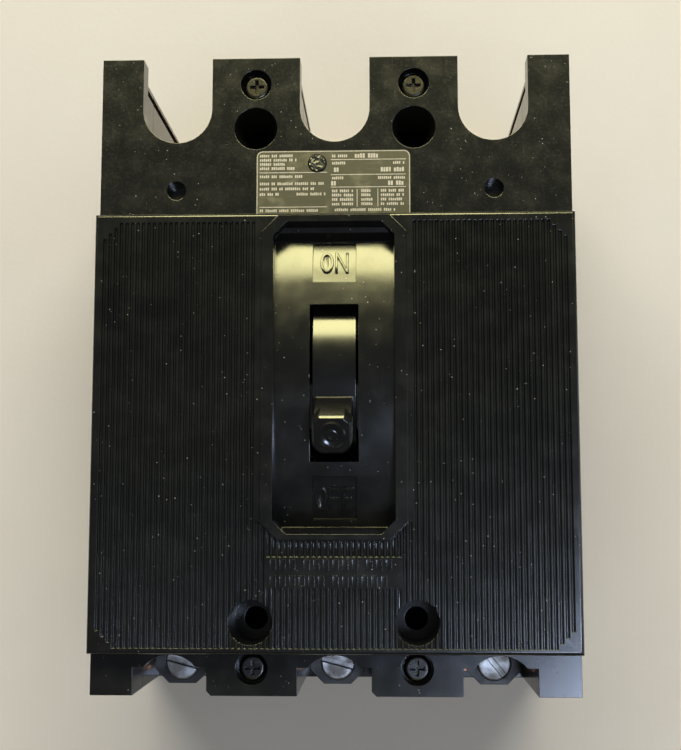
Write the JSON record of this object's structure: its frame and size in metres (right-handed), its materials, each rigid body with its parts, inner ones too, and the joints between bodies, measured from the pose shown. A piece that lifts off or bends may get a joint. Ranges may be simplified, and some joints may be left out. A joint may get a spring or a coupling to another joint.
{
  "type": "circuit breaker",
  "caption": "Moulded-case circuit breaker lying on its back: ribbed front with a toggle in a pocket, notched line end, screw lugs at the load end.",
  "frame": {"origin": "middle of the case's back face", "axes": "+Z out of the front, +Y to the line end, +X across the poles to the right, seen from the front with the line end up"},
  "size_m": [0.1036, 0.139, 0.0808],
  "materials": {
    "case_phenolic": "moulded black phenolic, ribbed on the block, matt on the shelf",
    "toggle_phenolic": "polished black moulding",
    "label_foil": "bronze-grey anodised foil",
    "plug_plastic": "moulded black",
    "cover_screw_steel": "dark oiled steel",
    "fastener_steel": "zinc plated",
    "frame_steel": "plated stampings",
    "pin_steel": "ground pins",
    "spring_steel": "drawn wire",
    "bar_phenolic": "brown phenolic moulding",
    "contact_silver": null,
    "arc_fibre": "vulcanised fibre",
    "copper": null,
    "braid_copper": "braided copper",
    "arc_steel": "copper-flashed steel plates",
    "bimetal": "rolled bimetal strip",
    "magnet_steel": "blackened magnet steel",
    "lug_alloy": "dull grey plated alloy",
    "lug_screw_alloy": "bright turned alloy"
  },
  "bodies": {
    "case": {"base": "case_phenolic", "cover": "case_phenolic", "rating_label": "label_foil", "cover_plug": "plug_plastic", "cover_screws_line": "cover_screw_steel", "cover_screws_load": "cover_screw_steel", "frame_screws": "fastener_steel", "calibration_screws": "fastener_steel", "side_frame_left": "frame_steel", "side_frame_right": "frame_steel", "handle_pivot_pins": "pin_steel", "cradle_pin": "pin_steel", "latch_pin": "pin_steel", "stationary_contacts": "contact_silver", "arc_chute_walls": "arc_fibre", "line_terminal_left": "copper", "line_terminal_center": "copper", "line_terminal_right": "copper", "load_terminal_left": "copper", "load_terminal_center": "copper", "load_terminal_right": "copper", "flexible_braid_left": "braid_copper", "flexible_braid_center": "braid_copper", "flexible_braid_right": "braid_copper", "arc_plates_left": "arc_steel", "arc_plates_center": "arc_steel", "arc_plates_right": "arc_steel", "bimetal_left": "bimetal", "bimetal_center": "bimetal", "bimetal_right": "bimetal", "magnet_yoke_left": "magnet_steel", "magnet_yoke_center": "magnet_steel", "magnet_yoke_right": "magnet_steel", "lug_left": "lug_alloy", "lug_center": "lug_alloy", "lug_right": "lug_alloy"},
    "toggle": {"handle": "toggle_phenolic", "handle_yoke": "frame_steel", "spring_anchor_pin": "pin_steel", "main_springs": "spring_steel"},
    "arm_shaft": {"crossbar": "bar_phenolic", "drive_pin": "pin_steel", "moving_contacts": "contact_silver", "contact_arm_left": "copper", "contact_arm_center": "copper", "contact_arm_right": "copper"},
    "cradle": {"cradle": "frame_steel", "link_pin": "pin_steel"},
    "upper_link": {"upper_links": "frame_steel", "knee_pin": "pin_steel"},
    "lower_link": {"lower_links": "frame_steel"},
    "latch": {"trip_latch": "frame_steel"},
    "trip_bar": {"trip_bar": "bar_phenolic"},
    "armature_left": {"armature_left": "magnet_steel"},
    "lug_screw_left": {"lug_screw_left": "lug_screw_alloy"},
    "armature_center": {"armature_center": "magnet_steel"},
    "lug_screw_center": {"lug_screw_center": "lug_screw_alloy"},
    "armature_right": {"armature_right": "magnet_steel"},
    "lug_screw_right": {"lug_screw_right": "lug_screw_alloy"}
  },
  "joints": [
    {"name": "toggle_swing", "type": "hinge", "parent": "case", "child": "toggle", "pos_m": [0, 0, 0.039], "axis": [-1, 0, 0], "range_deg": [-8, 39], "deforming": ["main_springs"]},
    {"name": "arm_shaft_turn", "type": "hinge", "parent": "case", "child": "arm_shaft", "pos_m": [0, -0.012, 0.0215], "axis": [-1, 0, 0], "range_deg": [-5, 24.1], "deforming": ["flexible_braid_left", "flexible_braid_center", "flexible_braid_right"]},
    {"name": "trip_bar_turn", "type": "hinge", "parent": "case", "child": "trip_bar", "pos_m": [0, -0.033, 0.044], "axis": [-1, 0, 0], "range_deg": [0, 12]},
    {"name": "latch_release", "type": "hinge", "parent": "case", "child": "latch", "pos_m": [0, -0.018, 0.035], "axis": [1, 0, 0], "range_deg": [0, 12.1]},
    {"name": "cradle_lift", "type": "hinge", "parent": "case", "child": "cradle", "pos_m": [0, 0.013, 0.043], "axis": [-1, 0, 0], "range_deg": [0, 6.1]},
    {"name": "upper_link_swing", "type": "hinge", "parent": "cradle", "child": "upper_link", "pos_m": [0, 0, 0.045], "axis": [1, 0, 0], "range_deg": [-7.2, 33.2]},
    {"name": "lower_link_swing", "type": "hinge", "parent": "arm_shaft", "child": "lower_link", "pos_m": [0, -0.00195, 0.02597], "axis": [1, 0, 0], "range_deg": [-1.6, 0.6]},
    {"name": "armature_left_pull", "type": "hinge", "parent": "case", "child": "armature_left", "pos_m": [-0.03492, -0.038, 0.033], "axis": [-1, 0, 0], "range_deg": [0, 4]},
    {"name": "lug_screw_left_travel", "type": "slide", "parent": "case", "child": "lug_screw_left", "axis": [0, 0, 1], "range_m": [-0.0022, 0.004]},
    {"name": "armature_center_pull", "type": "hinge", "parent": "case", "child": "armature_center", "pos_m": [0, -0.038, 0.033], "axis": [-1, 0, 0], "range_deg": [0, 4]},
    {"name": "lug_screw_center_travel", "type": "slide", "parent": "case", "child": "lug_screw_center", "axis": [0, 0, 1], "range_m": [-0.0022, 0.004]},
    {"name": "armature_right_pull", "type": "hinge", "parent": "case", "child": "armature_right", "pos_m": [0.03492, -0.038, 0.033], "axis": [-1, 0, 0], "range_deg": [0, 4]},
    {"name": "lug_screw_right_travel", "type": "slide", "parent": "case", "child": "lug_screw_right", "axis": [0, 0, 1], "range_m": [-0.0022, 0.004]}
  ],
  "couplings": [
    {"joint": "arm_shaft_turn", "follows": "toggle_swing", "ratio": 0.61538},
    {"joint": "upper_link_swing", "follows": "toggle_swing", "ratio": 0.84667},
    {"joint": "lower_link_swing", "follows": "toggle_swing", "ratio": -0.033333},
    {"joint": "latch_release", "follows": "trip_bar_turn", "ratio": 1},
    {"joint": "cradle_lift", "follows": "trip_bar_turn", "ratio": 0.5}
  ]
}
